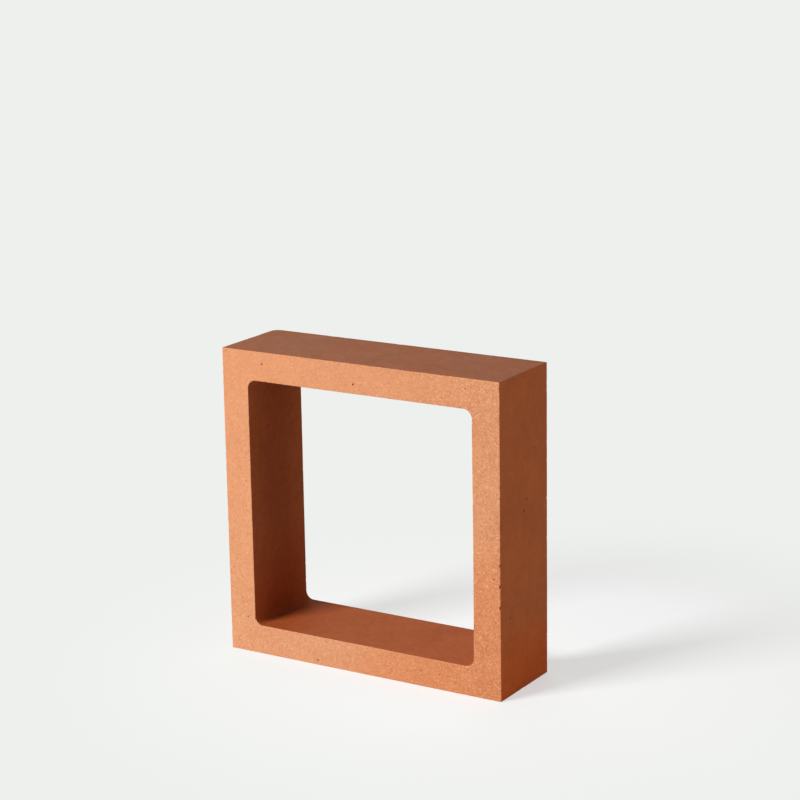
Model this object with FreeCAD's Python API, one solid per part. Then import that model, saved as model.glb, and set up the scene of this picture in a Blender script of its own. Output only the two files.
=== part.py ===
# Square breeze block: one cast frame of pigmented concrete, open from its front face to its back face.
# The frame of reference has X across the face, Y from the front to the back and Z up. Its origin is the
# middle of the bed face, which is the underside that the block stands on.
import FreeCAD, Part
import os

# Driving dimensions, in millimetres
width = 300.0
height = 300.0
depth = 89.0
side_wall = 28.5
bed_wall = 28.5
opening_corner_radius = 8.5
arris_radius = 0.8
rim_radius = 0.6

# The opening's cutter runs this far past both faces.
cutter_overrun = 10.0
# An edge this close to a plane lies on it.
on_plane = 1e-4

opening_width = width - 2.0 * side_wall
opening_height = height - 2.0 * bed_wall
front_y = -depth / 2.0
back_y = depth / 2.0


def eased_slab():
    """The block's outer shape, with the small round that the mould leaves on every outer edge."""
    corner = FreeCAD.Vector(-width / 2.0, front_y, 0.0)
    slab = Part.makeBox(width, depth, height, corner)
    return slab.makeFillet(arris_radius, slab.Edges)


def opening_core():
    """The mould's core that leaves the opening: a square prism with rounded corners, along Y."""
    corner = FreeCAD.Vector(-opening_width / 2.0, front_y - cutter_overrun, bed_wall)
    core = Part.makeBox(opening_width, depth + 2.0 * cutter_overrun, opening_height, corner)
    return core.makeFillet(opening_corner_radius, [edge for edge in core.Edges if runs_along_y(edge)])


def runs_along_y(edge):
    """True for an edge from front to back."""
    box = edge.BoundBox
    return box.XLength < on_plane and box.ZLength < on_plane


def is_opening_rim(edge):
    """True for an edge around the opening, on the front face or on the back face."""
    box = edge.BoundBox
    on_front = max(abs(box.YMin - front_y), abs(box.YMax - front_y)) < on_plane
    on_back = max(abs(box.YMin - back_y), abs(box.YMax - back_y)) < on_plane
    reach = opening_width / 2.0 + on_plane
    in_width = box.XMin > -reach and box.XMax < reach
    in_height = box.ZMin > bed_wall - on_plane and box.ZMax < bed_wall + opening_height + on_plane
    return (on_front or on_back) and in_width and in_height


def breeze_block():
    """The whole block: the slab without its core, with both rims of the opening eased."""
    block = eased_slab().cut(opening_core())
    return block.makeFillet(rim_radius, [edge for edge in block.Edges if is_opening_rim(edge)])


def save(node, shape):
    """Writes one solid as parts/NODE.step."""
    os.makedirs("parts", exist_ok=True)
    shape.exportStep("parts/" + node + ".step")
    print(node, "solids", len(shape.Solids), "volume", round(shape.Volume), "mm3")


save("breeze_block", breeze_block())
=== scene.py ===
import math

import bpy
from mathutils import Matrix, Vector, noise


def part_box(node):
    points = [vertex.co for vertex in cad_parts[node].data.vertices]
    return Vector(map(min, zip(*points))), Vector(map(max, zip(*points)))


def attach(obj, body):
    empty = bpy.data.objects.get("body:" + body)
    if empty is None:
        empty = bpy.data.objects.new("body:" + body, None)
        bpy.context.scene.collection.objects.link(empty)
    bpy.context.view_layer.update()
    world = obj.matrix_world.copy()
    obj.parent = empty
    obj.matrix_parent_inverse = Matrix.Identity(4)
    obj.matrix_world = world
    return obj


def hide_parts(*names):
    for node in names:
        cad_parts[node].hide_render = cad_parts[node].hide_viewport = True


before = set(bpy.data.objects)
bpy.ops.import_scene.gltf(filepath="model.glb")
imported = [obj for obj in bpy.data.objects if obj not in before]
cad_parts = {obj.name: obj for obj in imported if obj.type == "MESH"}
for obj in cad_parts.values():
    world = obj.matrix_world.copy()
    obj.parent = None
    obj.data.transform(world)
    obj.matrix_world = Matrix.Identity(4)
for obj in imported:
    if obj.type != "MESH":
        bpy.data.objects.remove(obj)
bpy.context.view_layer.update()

scene = bpy.context.scene
mm = 0.001

# ---------------------------------------------------------------------------------------------
# The block's body. One square frame of pigmented concrete, cast on its face in a steel mould, with
# a removable core that leaves the opening. The mould gives straight faces and tight arrises, which
# demoulding and stacking wear a little.

wall = 28.5 * mm
opening_corner = 8.5 * mm
cast_low, cast_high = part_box("breeze_block")
half_width = (cast_high.x - cast_low.x) / 2
half_depth = (cast_high.y - cast_low.y) / 2
middle = (cast_low + cast_high) / 2
half_opening = half_width - wall

# Distances from an arris at which the mesh has a line, close together where the arris turns.
arris_lines = [0.0, 0.25 * mm, 0.6 * mm, 1.1 * mm, 2.0 * mm, 3.6 * mm, 6.0 * mm]
line_spacing = 2.6 * mm


def graded(length, spacing):
    """Distances along a stretch between two arrises, from 0 to its length."""
    count = max(2, round((length - 2 * arris_lines[-1]) / spacing))
    step = (length - 2 * arris_lines[-1]) / count
    inner = [arris_lines[-1] + step * i for i in range(1, count)]
    return arris_lines + inner + [length - d for d in reversed(arris_lines)]


def side_stations():
    """Pairs of distances from the middle of one side: on the outer outline, and the angle or the
    distance on the opening's outline, from the corner before the side to just before the next."""
    turns = len(arris_lines) - 1
    half_outer = half_width - arris_lines[-1]
    half_inner = half_opening - opening_corner
    stations = []
    for i in range(turns):
        angle = math.pi / 4 * (1 - i / turns)
        along = half_inner + opening_corner * math.sin(angle)
        across = half_opening - opening_corner * (1 - math.cos(angle))
        stations.append((-half_width + arris_lines[i], -along, across))
    count = round(2 * half_inner / line_spacing)
    for i in range(count + 1):
        share = 2 * i / count - 1
        stations.append((share * half_outer, share * half_inner, half_opening))
    mirrored = [(-outer, -along, across) for outer, along, across in stations[1:turns]]
    return stations + mirrored[::-1]


def frame_stations():
    """Points of the outer outline and of the opening's outline, right round the frame, in x and z
    from its middle."""
    found = []
    for quarter in range(4):
        turn = Matrix.Rotation(quarter * math.pi / 2, 2)
        for outer, along, across in side_stations():
            found.append((turn @ Vector((outer, -half_width)), turn @ Vector((along, -across))))
    return found


def wall_section():
    """Shares from the outer outline to the opening's, and depths, right round the wall's section."""
    depths = [d - half_depth for d in graded(2 * half_depth, 1.4 * line_spacing)]
    shares = [d / wall for d in graded(wall, 1.6 * line_spacing)]
    outside = [(0.0, y) for y in depths]
    back = [(s, half_depth) for s in shares[1:]]
    inside = [(1.0, y) for y in reversed(depths[:-1])]
    front = [(s, -half_depth) for s in reversed(shares[1:-1])]
    return outside + back + inside + front


fresh_radius = 0.45 * mm
handled_radius = 0.7 * mm
handled_middle = -15 * mm
handled_reach = 55 * mm
corner_margin = 15 * mm


def arris_radius(point):
    """How much a place on an arris is rounded: a little everywhere, more where it is worn, and
    most about the middle of the front right arris, by which the block is lifted."""
    wander = noise.noise(point / (14 * mm)) * 0.2 * mm
    crumbs = max(0.0, noise.noise(point / (3.5 * mm) + Vector((7, 3, 1))) - 0.25) * 1.5 * mm
    handled = math.exp(-(((point.z - handled_middle) / handled_reach) ** 2))
    short_of_corners = abs(point.z) < half_width - corner_margin
    if point.x > 0 and point.y < 0 and short_of_corners:
        return fresh_radius + wander + crumbs + handled_radius * handled
    return fresh_radius + wander + crumbs


def ease_outside(point, radius):
    """Rounds the arrises of the outer box: a point near one moves onto a round of that radius."""
    reach = (half_width - radius, half_depth - radius, half_width - radius)
    core = Vector([max(-r, min(r, p)) for r, p in zip(reach, point)])
    out = point - core
    return core + out.normalized() * radius if out.length > radius else point


def ease_rim(point, radius):
    """Rounds the rims of the opening, on the front face and on the back face."""
    corner = half_opening - opening_corner
    away = Vector((max(abs(point.x) - corner, 0.0), max(abs(point.z) - corner, 0.0)))
    if not away.length:
        return point
    distance, outwards = away.length - opening_corner, away.normalized()
    height = half_depth - abs(point.y)
    if distance >= radius or height >= radius:
        return point
    run = Vector((radius - distance, radius - height))
    run = run * (radius / run.length)
    shift = (radius - run.x) - distance
    x = point.x + math.copysign(outwards.x * shift, point.x)
    z = point.z + math.copysign(outwards.y * shift, point.z)
    return Vector((x, math.copysign(half_depth - (radius - run.y), point.y), z))


knock_radius = 7.5 * mm
knock_foot = 235 * mm
knock_fade = 60 * mm


def knock_corner(point):
    """Wears the back left arris round near its top end, where the block was set down on it."""
    fade = max(0.0, min(1.0, (point.z + half_width - knock_foot) / knock_fade))
    radius = knock_radius * fade * fade * (3 - 2 * fade)
    from_left, from_back = point.x + half_width, half_depth - point.y
    if radius < 0.01 * mm or from_left >= radius or from_back >= radius:
        return point
    run = Vector((radius - from_left, radius - from_back))
    run = run * (max(run) / run.length)
    return Vector((radius - run.x - half_width, half_depth - radius + run.y, point.z))


def cast_body():
    """The frame as a closed net of quads, eased at every arris."""
    stations, section = frame_stations(), wall_section()
    points = []
    for outer, inner in stations:
        for share, y in section:
            flat = outer.lerp(inner, share)
            point = Vector((flat.x, y, flat.y))
            radius = arris_radius(point)
            point = ease_rim(ease_outside(point, radius), 0.8 * radius)
            points.append(knock_corner(point) + middle)
    faces = []
    rows, columns = len(stations), len(section)
    for i in range(rows):
        for j in range(columns):
            near, far = i * columns, (i + 1) % rows * columns
            after = (j + 1) % columns
            faces.append((near + j, near + after, far + after, far + j))
    mesh = bpy.data.meshes.new("breeze_block_cast")
    mesh.from_pydata(points, [], faces)
    mesh.validate()
    return mesh


def sink_surface(mesh):
    """Lets each face sink by up to a few tenths of a millimetre, as a mould's plates bow and the
    concrete shrinks. Nothing stands proud of the mould."""
    normals = [v.normal.copy() for v in mesh.vertices]
    for vertex, normal in zip(mesh.vertices, normals):
        broad = noise.noise(vertex.co / (60 * mm)) + 1
        fine = noise.noise(vertex.co / (9 * mm) + Vector((2, 5, 8))) + 1
        vertex.co -= normal * (0.04 * broad + 0.02 * fine) * mm


block_mesh = cast_body()
sink_surface(block_mesh)
block = bpy.data.objects.new("breeze_block_cast", block_mesh)
scene.collection.objects.link(block)

# ---------------------------------------------------------------------------------------------
# The concrete. Cement, iron oxide pigment and fine sand, with the same colour all through. The
# front and back faces are blasted, so that pale sand shows. The faces that touched the mould and
# its core have a smoother, deeper skin, and the upper one has a grey film of dust and painted sheen.

blasted_pale_painted_sheen = (0.69, 0.303, 0.151, 1)
blasted_deep = (0.665, 0.246, 0.106, 1)
mould_skin = (0.44, 0.117, 0.0385, 1)
mould_foot_painted_shade = (0.5, 0.102, 0.024, 1)
mould_corner_painted_shade = (0.415, 0.092, 0.026, 1)
pale_sand = (0.85, 0.53, 0.34, 1)
dark_sand = (0.25, 0.07, 0.03, 1)
dust_and_painted_sheen = (0.255, 0.178, 0.124, 1)


def add_node(tree, kind, inputs=None, **settings):
    """A node with its settings, and its inputs linked or set by name or number."""
    node = tree.nodes.new(kind)
    for name, value in settings.items():
        setattr(node, name, value)
    for name, value in (inputs or {}).items():
        if isinstance(value, bpy.types.NodeSocket):
            tree.links.new(value, node.inputs[name])
        else:
            node.inputs[name].default_value = value
    return node


def maths(tree, operation, first, second=0.0, third=0.0):
    """One sum on numbers."""
    inputs = {0: first, 1: second, 2: third}
    return add_node(tree, "ShaderNodeMath", inputs, operation=operation).outputs[0]


def soft_step(tree, value, low, high):
    """A smooth rise from 0 to 1 as the value goes from low to high."""
    inputs = {0: value, 1: low, 2: high}
    made = add_node(tree, "ShaderNodeMapRange", inputs, interpolation_type="SMOOTHSTEP")
    return made.outputs[0]


def blend(tree, share, first, second):
    """A mix of two colours."""
    inputs = {0: share, 6: first, 7: second}
    return add_node(tree, "ShaderNodeMix", inputs, data_type="RGBA").outputs[2]


def mottle(tree, place, size, detail=2.0):
    """Smooth random values round a half, in patches of about the given size."""
    inputs = {"Vector": place, "Scale": 1 / size, "Detail": detail}
    return add_node(tree, "ShaderNodeTexNoise", inputs).outputs[0]


def grains(tree, place, size):
    """Packed grains: how far a place is from its grain's middle, and a number for each grain."""
    cells = add_node(tree, "ShaderNodeTexVoronoi", {"Vector": place, "Scale": 1 / size})
    number = add_node(tree, "ShaderNodeSeparateColor", {0: cells.outputs["Color"]}).outputs[0]
    return cells.outputs["Distance"], number


def sunk_below_faces(tree, x, y, z):
    """How far a place lies below the nearest face of the block, the opening's faces included."""
    across = maths(tree, "ABSOLUTE", x)
    along = maths(tree, "ABSOLUTE", maths(tree, "SUBTRACT", z, middle.z))
    widest = maths(tree, "MAXIMUM", across, along)
    outer = maths(tree, "SUBTRACT", half_width, widest)
    inner = maths(tree, "SUBTRACT", widest, half_opening)
    faces = maths(tree, "SUBTRACT", half_depth, maths(tree, "ABSOLUTE", y))
    return maths(tree, "MINIMUM", faces, maths(tree, "MINIMUM", outer, inner))


def painted_shade_low_left(tree, x, z):
    """Where painted shade goes: 1 in the opening's lower left corner, fading to 0 up its side and
    along its sill.
    """
    left = soft_step(tree, x, -40 * mm, -110 * mm)
    return maths(tree, "MULTIPLY", left, soft_step(tree, z, 130 * mm, 40 * mm))


def cast_concrete():
    """The material, with its two finishes told apart by how near the front or back face is."""
    material = bpy.data.materials.new("cast_concrete")
    material.use_nodes = True
    tree = material.node_tree
    surface = tree.nodes["Principled BSDF"]
    place = add_node(tree, "ShaderNodeTexCoord").outputs["Object"]
    x, y, z = add_node(tree, "ShaderNodeSeparateXYZ", {0: place}).outputs
    near_face = maths(tree, "ABSOLUTE", y)
    blasted = soft_step(tree, near_face, half_depth - 0.5 * mm, half_depth - 0.24 * mm)

    def by_finish(on_mould, on_blasted):
        return maths(tree, "MULTIPLY_ADD", blasted, on_blasted - on_mould, on_mould)

    # Broad colour: painted sheen makes the blasted faces paler at the upper left than at the lower
    # right, and no batch is quite even. Painted shade makes the mould's skin redder and richer at
    # the outer foot, and darker in the opening's lower left corner.
    broad = mottle(tree, place, 70 * mm, 1.0)
    # Painted sheen: the blasted colour is paler and greyer towards the upper left.
    lower_right = maths(tree, "SUBTRACT", x, z)
    lower_right = maths(tree, "MULTIPLY_ADD", broad, 0.16, lower_right)
    deep = soft_step(tree, lower_right, 0.02, 0.16)
    body_colour = blend(tree, deep, blasted_pale_painted_sheen, blasted_deep)
    outside = soft_step(tree, maths(tree, "ABSOLUTE", x), half_opening, half_width)
    # Painted shade: the mould's skin redder and richer at the outer foot.
    foot_painted_shade = maths(tree, "MULTIPLY", outside, soft_step(tree, z, 80 * mm, 15 * mm))
    skin = blend(tree, foot_painted_shade, mould_skin, mould_foot_painted_shade)
    # Painted shade: the mould's skin darker and redder in the opening's lower left corner.
    corner = maths(tree, "MULTIPLY", painted_shade_low_left(tree, x, z), maths(tree, "SUBTRACT", 1.0, outside))
    skin = blend(tree, corner, skin, mould_corner_painted_shade)
    body_colour = blend(tree, blasted, skin, body_colour)
    # A grey film on the upper face, partly dust and partly painted sheen.
    upper = soft_step(tree, z, 2 * middle.z - 1.2 * mm, 2 * middle.z - 0.5 * mm)
    dust_and_painted_sheen_share = maths(tree, "MULTIPLY", upper, maths(tree, "MULTIPLY_ADD", broad, 0.3, 0.15))
    dust_and_painted_sheen_share = maths(tree, "MULTIPLY", dust_and_painted_sheen_share, maths(tree, "SUBTRACT", 1.0, blasted))
    body_colour = blend(tree, dust_and_painted_sheen_share, body_colour, dust_and_painted_sheen)

    # Shade: clouds, blotches and sand, each by its own amount on the two finishes. Where it is
    # darker the colour is richer too, as it is where pigment lies thick. Painted light makes the
    # blasted faces a little paler down the block; they are smoother at the upper left and sandier on
    # the right.
    cell, number = grains(tree, place, 1.3 * mm)
    # Painted light: the blasted faces lighter towards the bottom.
    painted_light_low_down = maths(tree, "MULTIPLY", blasted, maths(tree, "SUBTRACT", middle.z, z))
    shade = maths(tree, "MULTIPLY_ADD", painted_light_low_down, 0.5, 1.0)
    off_upper_left = soft_step(tree, lower_right, -0.27, -0.07)
    right_wall = soft_step(tree, x, 60 * mm, 130 * mm)
    sandier = maths(tree, "MULTIPLY_ADD", off_upper_left, 0.35, -0.35)
    sandier = maths(tree, "MULTIPLY_ADD", right_wall, 0.33, sandier)
    sandier = maths(tree, "MULTIPLY_ADD", blasted, sandier, 1.0)
    for value, on_mould, on_blasted in (
        (mottle(tree, place, 38 * mm, 3.0), 0.24, 0.17),
        (mottle(tree, place, 7 * mm), 0.18, 0.13),
        (mottle(tree, place, 2.0 * mm), 0.19, 0.22),
        (number, 0.08, 0.20),
    ):
        reach = maths(tree, "MULTIPLY", by_finish(on_mould, on_blasted), sandier)
        base = maths(tree, "MULTIPLY_ADD", reach, -0.5, shade)
        shade = maths(tree, "MULTIPLY_ADD", value, reach, base)

    # Single grains of pale and of dark sand, and the pores that fine air leaves.
    pale = maths(tree, "MULTIPLY", soft_step(tree, number, 0.90, 0.97), by_finish(0.01, 0.14))
    pale = maths(tree, "MULTIPLY", pale, sandier)
    dark = maths(tree, "MULTIPLY", soft_step(tree, number, 0.07, 0.02), by_finish(0.04, 0.12))
    pore_cell, pore_number = grains(tree, place, 4.5 * mm)
    open_pore = soft_step(tree, pore_number, 0.62, 0.70)
    pore = maths(tree, "MULTIPLY", soft_step(tree, pore_cell, 0.16, 0.08), open_pore)
    # Painted shade: darker colour where the surface lies well below a face, in pits and nicks.
    painted_pit_shade = soft_step(tree, sunk_below_faces(tree, x, y, z), 0.4 * mm, 0.9 * mm)
    knock_near, knock_far = knock_radius + 0.5 * mm, knock_radius + 1.5 * mm
    clear_of_knock = maths(
        tree,
        "MAXIMUM",
        soft_step(tree, x, knock_near - half_width, knock_far - half_width),
        soft_step(tree, y, half_depth - knock_near, half_depth - knock_far),
    )
    painted_pit_shade = maths(tree, "MULTIPLY", painted_pit_shade, clear_of_knock)
    shade = maths(tree, "MULTIPLY", shade, maths(tree, "MULTIPLY_ADD", pore, -0.22, 1.0))
    shade = maths(tree, "MULTIPLY", shade, maths(tree, "MULTIPLY_ADD", painted_pit_shade, -0.45, 1.0))
    colour = blend(tree, pale, body_colour, pale_sand)
    colour = blend(tree, dark, colour, dark_sand)
    richer = maths(tree, "MULTIPLY_ADD", shade, -0.4, 1.4)
    colour = add_node(tree, "ShaderNodeGamma", {0: colour, 1: richer}).outputs[0]
    lighter = maths(tree, "MULTIPLY_ADD", shade, 0.6, 0.4)
    colour = add_node(tree, "ShaderNodeVectorMath", {0: colour, 3: lighter}, operation="SCALE")
    tree.links.new(colour.outputs[0], surface.inputs["Base Color"])

    # The mould leaves a closed skin with a faint sheen, and blasting opens it.
    wander = maths(tree, "SUBTRACT", mottle(tree, place, 12 * mm), 0.5)
    roughness = maths(tree, "MULTIPLY_ADD", wander, 0.25, by_finish(0.66, 0.88))
    tree.links.new(roughness, surface.inputs["Roughness"])
    surface.inputs["Specular IOR Level"].default_value = 0.02

    # Relief in millimetres: rounded grains, finer grit between them, and the pores.
    relief = maths(tree, "MULTIPLY", cell, by_finish(-0.012, -0.06))
    relief = maths(tree, "MULTIPLY_ADD", mottle(tree, place, 0.7 * mm), 0.05, relief)
    relief = maths(tree, "MULTIPLY_ADD", pore, -0.15, relief)
    bump = add_node(tree, "ShaderNodeBump", {"Height": relief, "Distance": mm, "Strength": 1.0})
    tree.links.new(bump.outputs[0], surface.inputs["Normal"])
    return material


concrete = cast_concrete()
block_mesh.materials.append(concrete)

# ---------------------------------------------------------------------------------------------
# The bug holes. Air that was caught against the mould leaves round voids in the skin of the
# concrete, most of them under a millimetre across and a few of two. Where one breaks through an
# arris it leaves a nick.

front, right = -half_depth / mm, half_width / mm

# The plainest ones, placed to about 5 mm, each with its width in millimetres.
plain_holes = [
    (-50, front, 5, 1.8),
    (-40, front, 25, 1.5),
    (-130, front, 35, 1.4),
    (65, front, 15, 1.4),
    (85, front, 15, 1.5),
    (115, front, 25, 1.5),
    (115, front, 290, 1.3),
    (right, 0, 170, 2.6),
    (right, 5, 180, 2.0),
    (right, 20, 225, 2.0),
]

# Three nicks in a row, part of the way up the front right arris.
lowest_nick, nick_spacing, nick_width = 90, 20, 3.4
plain_holes += [(right, front, lowest_nick + nick_spacing * i, nick_width) for i in range(3)]


def new_tree(name, sizes):
    """A geometry node tree with named inputs, and its input node."""
    tree = bpy.data.node_groups.new(name, "GeometryNodeTree")
    tree.interface.new_socket("Geometry", in_out="INPUT", socket_type="NodeSocketGeometry")
    for label, kind in sizes.items():
        tree.interface.new_socket(label, in_out="INPUT", socket_type="NodeSocket" + kind)
    tree.interface.new_socket("Geometry", in_out="OUTPUT", socket_type="NodeSocketGeometry")
    return tree, tree.nodes.new("NodeGroupInput")


def cut_away(tree, given, cutters):
    """Ends a tree: takes the cutters out of the piece, and gives the result its concrete."""
    inputs = {0: given["Geometry"], 1: cutters}
    kind = "GeometryNodeMeshBoolean"
    cut = add_node(tree, kind, inputs, operation="DIFFERENCE", solver="EXACT")
    whole = add_node(tree, "GeometryNodeRealizeInstances", {0: cut.outputs[0]})
    inputs = {0: whole.outputs[0], 2: given["Concrete"]}
    finished = add_node(tree, "GeometryNodeSetMaterial", inputs)
    add_node(tree, "NodeGroupOutput", {0: finished.outputs[0]})


def random_between(tree, low, high, seed):
    """A random number for each point."""
    made = add_node(tree, "FunctionNodeRandomValue", {2: low, 3: high, 8: seed}, data_type="FLOAT")
    return made.outputs[1]


def rough_lumps(tree, points, rotation, scale, roundness, chosen=True):
    """Lumps at points, each turned and sized, with a surface that is a little uneven."""
    lump = add_node(tree, "GeometryNodeMeshIcoSphere", {"Radius": 0.5, "Subdivisions": roundness})
    inputs = {
        "Points": points,
        "Selection": chosen,
        "Instance": lump.outputs[0],
        "Rotation": rotation,
        "Scale": scale,
    }
    placed = add_node(tree, "GeometryNodeInstanceOnPoints", inputs).outputs[0]
    real = add_node(tree, "GeometryNodeRealizeInstances", {0: placed}).outputs[0]
    place = add_node(tree, "GeometryNodeInputPosition").outputs[0]
    wander = add_node(tree, "ShaderNodeTexNoise", {"Vector": place, "Scale": 1 / (1.1 * mm)})
    centred = {0: wander.outputs[1], 1: (0.5, 0.5, 0.5)}
    centred = add_node(tree, "ShaderNodeVectorMath", centred, operation="SUBTRACT").outputs[0]
    offset = {0: centred, 3: 0.4 * mm}
    offset = add_node(tree, "ShaderNodeVectorMath", offset, operation="SCALE").outputs[0]
    return add_node(tree, "GeometryNodeSetPosition", {0: real, 3: offset}).outputs[0]


def voids_at(tree, points, rotation, size, roundness):
    """Voids of the given width at points, each out of round by its own amount."""
    wide = maths(tree, "MULTIPLY", size, random_between(tree, 0.8, 1.25, 11))
    deep = maths(tree, "MULTIPLY", size, random_between(tree, 0.8, 1.3, 12))
    scale = add_node(tree, "ShaderNodeCombineXYZ", {0: size, 1: wide, 2: deep}).outputs[0]
    spin = add_node(tree, "ShaderNodeCombineXYZ", {2: random_between(tree, 0.0, 6.2832, 13)})
    spin = add_node(tree, "FunctionNodeEulerToRotation", {0: spin.outputs[0]}).outputs[0]
    kind = "FunctionNodeRotateRotation"
    turned = add_node(tree, kind, {0: rotation, 1: spin}, rotation_space="LOCAL").outputs[0]
    return rough_lumps(tree, points, turned, scale, roundness)


def scattered_voids(tree, given, label, roundness):
    """Voids all over the surface, no two closer than the spacing, with few of the largest and
    fewer of any on the faces that the mould closed."""
    normal = add_node(tree, "GeometryNodeInputNormal").outputs[0]
    facing = add_node(tree, "ShaderNodeSeparateXYZ", {0: normal}).outputs[1]
    thinned = add_node(
        tree, "ShaderNodeMapRange", {0: maths(tree, "ABSOLUTE", facing), 3: given["Mould share"]}
    ).outputs[0]
    spread = {
        "Mesh": given["Geometry"],
        "Distance Min": given[label + " spacing"],
        "Density Max": given[label + " density"],
        "Density Factor": thinned,
        "Seed": given["Seed"],
    }
    kind = "GeometryNodeDistributePointsOnFaces"
    spots = add_node(tree, kind, spread, distribute_method="POISSON")
    luck = maths(tree, "POWER", random_between(tree, 0.0, 1.0, given["Seed"]), 3.0)
    sizes = {0: luck, 3: given[label + " smallest"], 4: given[label + " largest"]}
    size = add_node(tree, "ShaderNodeMapRange", sizes).outputs[0]
    return voids_at(tree, spots.outputs[0], spots.outputs[2], size, roundness)


def bug_hole_tree():
    """Cuts the plain voids and two sizes of scattered ones out of the surface."""
    sizes = {"Concrete": "Material", "Plain holes": "Object", "Seed": "Int", "Mould share": "Float"}
    for label in ("Hole", "Pinhole"):
        for measure in ("spacing", "density", "smallest", "largest"):
            sizes[label + " " + measure] = "Float"
    tree, source = new_tree("bug_holes", sizes)
    given = source.outputs
    cutters = add_node(tree, "GeometryNodeJoinGeometry")
    for label, roundness in (("Hole", 2), ("Pinhole", 1)):
        tree.links.new(scattered_voids(tree, given, label, roundness), cutters.inputs[0])
    spots = add_node(tree, "GeometryNodeObjectInfo", {0: given["Plain holes"]}).outputs["Geometry"]
    width = add_node(tree, "GeometryNodeInputNamedAttribute", {0: "width"}, data_type="FLOAT")
    level = add_node(tree, "FunctionNodeEulerToRotation").outputs[0]
    tree.links.new(voids_at(tree, spots, level, width.outputs[0], 2), cutters.inputs[0])
    cut_away(tree, given, cutters.outputs[0])
    return tree


def apply_tree(piece, tree, values):
    """Runs a tree on a piece, with its inputs set, and keeps the result as the plain mesh."""
    modifier = piece.modifiers.new(tree.name, "NODES")
    modifier.node_group = tree
    for item in tree.interface.items_tree:
        if item.item_type == "SOCKET" and item.in_out == "INPUT" and item.name in values:
            modifier[item.identifier] = values[item.name]
    depsgraph = bpy.context.evaluated_depsgraph_get()
    made = bpy.data.meshes.new_from_object(piece.evaluated_get(depsgraph))
    piece.modifiers.remove(modifier)
    piece.data = made


spot_mesh = bpy.data.meshes.new("plain_holes")
spot_mesh.from_pydata([Vector(hole[:3]) * mm for hole in plain_holes], [], [])
widths = spot_mesh.attributes.new("width", "FLOAT", "POINT")
widths.data.foreach_set("value", [hole[3] * mm for hole in plain_holes])
spots = bpy.data.objects.new("plain_holes", spot_mesh)
scene.collection.objects.link(spots)
apply_tree(
    block,
    bug_hole_tree(),
    {
        "Concrete": concrete,
        "Plain holes": spots,
        "Seed": 4,
        "Mould share": 0.35,
        "Hole spacing": 9 * mm,
        "Hole density": 520.0,
        "Hole smallest": 0.9 * mm,
        "Hole largest": 2.2 * mm,
        "Pinhole spacing": 3.5 * mm,
        "Pinhole density": 4200.0,
        "Pinhole smallest": 0.45 * mm,
        "Pinhole largest": 1.0 * mm,
    },
)
bpy.data.objects.remove(spots)

# ---------------------------------------------------------------------------------------------
# The chipped arrises. Lifting, stacking and setting down take small flakes out of the sharp lines
# between faces, more of them from the outer arrises than from the rims of the opening.


def outer_arrises(tree, given):
    """The block's twelve straight arrises short of its corners, as curves round its middle."""
    box = add_node(tree, "GeometryNodeMeshCube", {"Size": given["Block size"]}).outputs[0]
    lines = add_node(tree, "GeometryNodeMeshToCurve", {0: box}).outputs[0]
    inputs = {"Curve": lines, 2: 0.02, 3: 0.98}
    return add_node(tree, "GeometryNodeTrimCurve", inputs, mode="FACTOR").outputs[0]


def opening_rims(tree, given):
    """The opening's two rims, as curves round the block's middle."""
    inputs = {"Width": given["Opening"], "Height": given["Opening"]}
    square = add_node(tree, "GeometryNodeCurvePrimitiveQuadrilateral", inputs).outputs[0]
    inputs = {"Curve": square, "Count": 4, "Radius": given["Opening corner"]}
    rim = add_node(tree, "GeometryNodeFilletCurve", inputs, mode="POLY").outputs[0]
    depth = add_node(tree, "ShaderNodeSeparateXYZ", {0: given["Block size"]}).outputs[1]
    rims = add_node(tree, "GeometryNodeJoinGeometry")
    for side in (-0.5, 0.5):
        shift = add_node(tree, "ShaderNodeCombineXYZ", {1: maths(tree, "MULTIPLY", depth, side)})
        inputs = {
            "Geometry": rim,
            "Translation": shift.outputs[0],
            "Rotation": (math.pi / 2, 0, 0),
        }
        tree.links.new(add_node(tree, "GeometryNodeTransform", inputs).outputs[0], rims.inputs[0])
    return rims.outputs[0]


def chip_tree():
    """Knocks flakes out of arrises at random places, long along the arris and shallow."""
    sizes = {
        "Concrete": "Material",
        "Block size": "Vector",
        "Opening": "Float",
        "Opening corner": "Float",
        "Seed": "Int",
        "Chip pitch": "Float",
        "Smallest chip": "Float",
        "Largest chip": "Float",
        "Arris share": "Float",
        "Rim share": "Float",
    }
    tree, source = new_tree("arris_chips", sizes)
    given = source.outputs
    flakes = add_node(tree, "GeometryNodeJoinGeometry")
    for lines, share in (
        (outer_arrises(tree, given), "Arris share"),
        (opening_rims(tree, given), "Rim share"),
    ):
        inputs = {"Curve": lines, "Length": given["Chip pitch"]}
        spots = add_node(tree, "GeometryNodeCurveToPoints", inputs, mode="LENGTH")
        inputs = {6: given[share], 8: given["Seed"]}
        chosen = add_node(tree, "FunctionNodeRandomValue", inputs, data_type="BOOLEAN").outputs[3]
        luck = maths(tree, "POWER", random_between(tree, 0.0, 1.0, 21), 3.0)
        sizes = {0: luck, 3: given["Smallest chip"], 4: given["Largest chip"]}
        bite = add_node(tree, "ShaderNodeMapRange", sizes).outputs[0]
        run = maths(tree, "MULTIPLY", bite, random_between(tree, 1.0, 2.6, 22))
        scale = add_node(tree, "ShaderNodeCombineXYZ", {0: bite, 1: bite, 2: run}).outputs[0]
        lumps = rough_lumps(tree, spots.outputs[0], spots.outputs["Rotation"], scale, 2, chosen)
        tree.links.new(lumps, flakes.inputs[0])
    inputs = {"Geometry": flakes.outputs[0], "Translation": middle}
    moved = add_node(tree, "GeometryNodeTransform", inputs).outputs[0]
    cut_away(tree, given, moved)
    return tree


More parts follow.
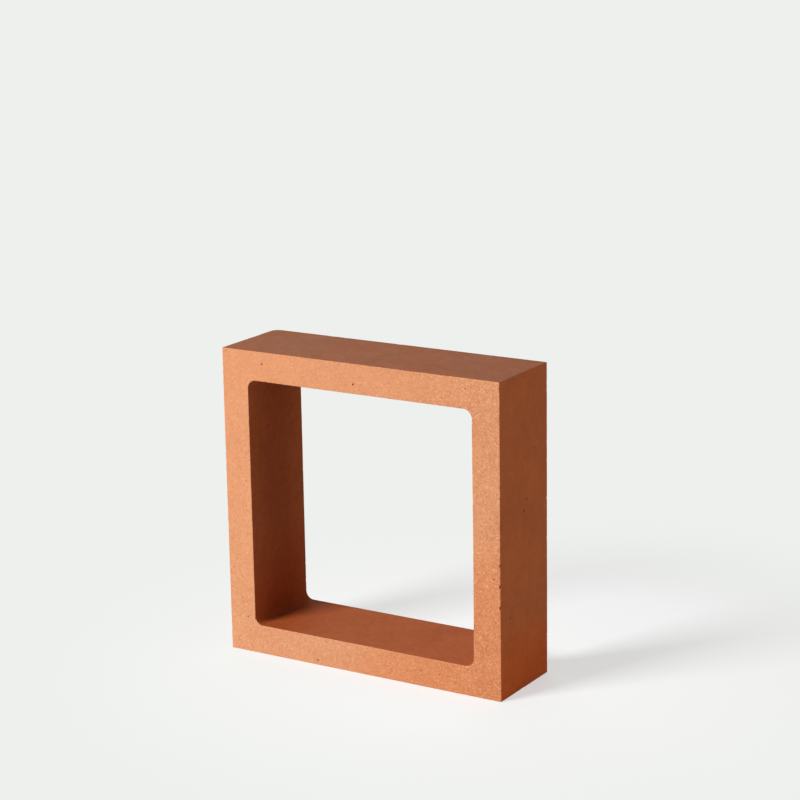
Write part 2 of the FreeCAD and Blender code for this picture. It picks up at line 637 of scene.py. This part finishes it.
apply_tree(
    block,
    chip_tree(),
    {
        "Concrete": concrete,
        "Block size": cast_high - cast_low,
        "Opening": 2 * half_opening,
        "Opening corner": opening_corner,
        "Seed": 9,
        "Chip pitch": 5.3 * mm,
        "Smallest chip": 0.6 * mm,
        "Largest chip": 2.0 * mm,
        "Arris share": 0.24,
        "Rim share": 0.12,
    },
)
block.data.polygons.foreach_set("use_smooth", [True] * len(block.data.polygons))
block.data.set_sharp_from_angle(angle=math.radians(35))

# ---------------------------------------------------------------------------------------------
# The block's faces laid out flat, so that its finish can be baked sharply: the front and the back
# as whole rings, the opening's four faces inside the rings, and the four outer faces above them.

strip_gap = 3 * mm
ring_pitch = 2 * half_width + strip_gap
strip_pitch = 2 * half_depth + strip_gap
layout_size = Vector((2 * ring_pitch, ring_pitch + 2 * strip_pitch))
ring_middles = {"front": Vector((0.5, 0.5)) * ring_pitch, "back": Vector((1.5, 0.5)) * ring_pitch}
strip_middles = {}
for column, row, outer_side, inner_side in (
    (0, 0, (-1, 0), (-1, 0)),
    (0, 1, (0, 1), (1, 0)),
    (1, 0, (1, 0), (0, -1)),
    (1, 1, (0, -1), (0, 1)),
):
    across = (column + 0.5) * ring_pitch
    strip_middles["outer", outer_side] = Vector((across, ring_pitch + (row + 0.5) * strip_pitch))
    strip_middles["inner", inner_side] = Vector((across, ring_pitch / 2 + (row - 0.5) * strip_pitch))


def flat_place(group, side, point):
    """Where a point of one of the block's faces lies in the layout."""
    if group in ring_middles:
        across = point.x if group == "front" else -point.x
        return ring_middles[group] + Vector((across, point.z))
    facing = 1 if group == "outer" else -1
    along = facing * (side[1] * point.x - side[0] * point.z)
    return strip_middles[group, side] + Vector((along, point.y))


# How far a place's direction outweighs its distance from a face.
void_leaning = 1.2 * mm


def face_group(point, normal):
    """The face of the block that a place belongs to: its own if in a void, and the nearest in
    direction if on an arris."""
    across, along = abs(point.x), abs(point.z)
    corner = half_opening - opening_corner
    away = Vector((max(across - corner, 0.0), max(along - corner, 0.0)))
    inwards = Vector((math.copysign(away.x, -point.x), math.copysign(away.y, -point.z)))
    inwards = inwards.normalized()
    if across > along:
        side = (int(math.copysign(1, point.x)), 0)
    else:
        side = (0, int(math.copysign(1, point.z)))
    choices = {
        "front": (half_depth + point.y, -normal.y),
        "back": (half_depth - point.y, normal.y),
        "outer": (half_width - max(across, along), side[0] * normal.x + side[1] * normal.z),
        "inner": (away.length - opening_corner, inwards.x * normal.x + inwards.y * normal.z),
    }
    found = min(choices, key=lambda name: choices[name][0] - void_leaning * choices[name][1])
    return found, side


def lay_out_flat(mesh):
    """Gives a mesh the flat layout, as shares of its size."""
    layer = mesh.uv_layers.new(name="OFBake")
    places = [Vector((0.0, 0.0))] * len(mesh.loops)
    for face in mesh.polygons:
        group, side = face_group(face.center - middle, face.normal)
        for loop in face.loop_indices:
            point = mesh.vertices[mesh.loops[loop].vertex_index].co - middle
            flat = flat_place(group, side, point)
            places[loop] = Vector((flat.x / layout_size.x, flat.y / layout_size.y))
    layer.uv.foreach_set("vector", [number for place in places for number in place])


lay_out_flat(block.data)
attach(block, "root")
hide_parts("breeze_block")

# ---------------------------------------------------------------------------------------------
# The studio. A pale seamless floor that the block stands on, one large soft lamp low in front to
# the left, a small weak fill at the right, a wide weak one behind, and an even pale surround.

backdrop_colour = (0.855, 0.871, 0.847, 1)


def seen_rays(tree):
    """1 for what the camera sees, directly or through gloss or glass, and 0 for lighting."""
    rays = add_node(tree, "ShaderNodeLightPath").outputs
    seen = maths(tree, "MAXIMUM", rays["Is Camera Ray"], rays["Is Glossy Ray"])
    return maths(tree, "MAXIMUM", seen, rays["Is Transmission Ray"])


def seamless_floor():
    reach = 15.0
    mesh = bpy.data.meshes.new("floor")
    corners = [(-reach, -reach, 0), (reach, -reach, 0), (reach, reach, 0), (-reach, reach, 0)]
    mesh.from_pydata(corners, [], [(0, 1, 2, 3)])
    material = bpy.data.materials.new("pale_floor")
    material.use_nodes = True
    tree = material.node_tree
    tree.nodes.clear()
    matt = add_node(tree, "ShaderNodeBsdfDiffuse", {0: (0.57, 0.58, 0.583, 1)}).outputs[0]
    glow = add_node(tree, "ShaderNodeEmission", {0: (1, 1, 1, 1), 1: 0.495}).outputs[0]
    near = add_node(tree, "ShaderNodeAddShader", {0: matt, 1: glow}).outputs[0]
    far = add_node(tree, "ShaderNodeEmission", {0: backdrop_colour, 1: 1.0}).outputs[0]
    inputs = {0: add_node(tree, "ShaderNodeTexCoord").outputs["Object"], 1: (0.1, 0.1, 0.0)}
    away = add_node(tree, "ShaderNodeVectorMath", inputs, operation="DISTANCE").outputs[1]
    share = soft_step(tree, away, 0.0, 0.5)
    shown = add_node(tree, "ShaderNodeMixShader", {0: share, 1: near, 2: far}).outputs[0]
    white = add_node(tree, "ShaderNodeBsdfDiffuse", {0: (0.55, 0.55, 0.547, 1)}).outputs[0]
    inputs = {0: seen_rays(tree), 1: white, 2: shown}
    mixed = add_node(tree, "ShaderNodeMixShader", inputs).outputs[0]
    add_node(tree, "ShaderNodeOutputMaterial", {0: mixed})
    mesh.materials.append(material)
    floor = bpy.data.objects.new("floor", mesh)
    scene.collection.objects.link(floor)


def pale_surround():
    world = bpy.data.worlds.new("surround")
    scene.world = world
    world.use_nodes = True
    tree = world.node_tree
    tree.nodes.clear()
    soft = add_node(tree, "ShaderNodeBackground", {0: (1, 1, 1, 1), 1: 0.13}).outputs[0]
    shown = add_node(tree, "ShaderNodeBackground", {0: backdrop_colour, 1: 1.0}).outputs[0]
    inputs = {0: seen_rays(tree), 1: soft, 2: shown}
    mixed = add_node(tree, "ShaderNodeMixShader", inputs).outputs[0]
    add_node(tree, "ShaderNodeOutputWorld", {0: mixed})


def soft_lamp(name, towards, distance, size, power, colour):
    """A square area lamp that faces the block's middle."""
    light = bpy.data.lights.new(name, "AREA")
    light.size = size
    light.energy = power
    light.color = colour
    lamp = bpy.data.objects.new(name, light)
    direction = Vector(towards).normalized()
    lamp.location = middle + direction * distance
    lamp.rotation_euler = direction.to_track_quat("Z", "Y").to_euler()
    scene.collection.objects.link(lamp)


seamless_floor()
pale_surround()
soft_lamp("key", (-0.397, -0.779, 0.485), 2.3, 0.8, 56.0, (1, 1, 1))
soft_lamp("fill", (1.0, 0.0, 0.12), 1.6, 0.5, 5.9, (1.0, 0.97, 0.93))
soft_lamp("back", (-0.5, 0.8, 0.42), 2.4, 2.2, 16.0, (1, 1, 1))

# ---------------------------------------------------------------------------------------------
# The camera, with a long lens, in front of the block to the right and a little above it.

azimuth, elevation, roll = (math.radians(a) for a in (31.84, 14.14, -0.96))
forward = Vector(
    (
        -math.sin(azimuth) * math.cos(elevation),
        math.cos(azimuth) * math.cos(elevation),
        -math.sin(elevation),
    )
)
camera_place = Vector((1.1505, -1.8216, 0.7989))
camera = bpy.data.objects.new("camera", bpy.data.cameras.new("camera"))
camera.data.sensor_width = 36.0
camera.data.lens = 107.27
camera.data.clip_end = 100.0
level = forward.to_track_quat("-Z", "Y").to_matrix().to_4x4()
camera.matrix_world = Matrix.Translation(camera_place) @ level @ Matrix.Rotation(roll, 4, "Z")
scene.collection.objects.link(camera)
scene.camera = camera
scene.view_settings.view_transform = "Standard"
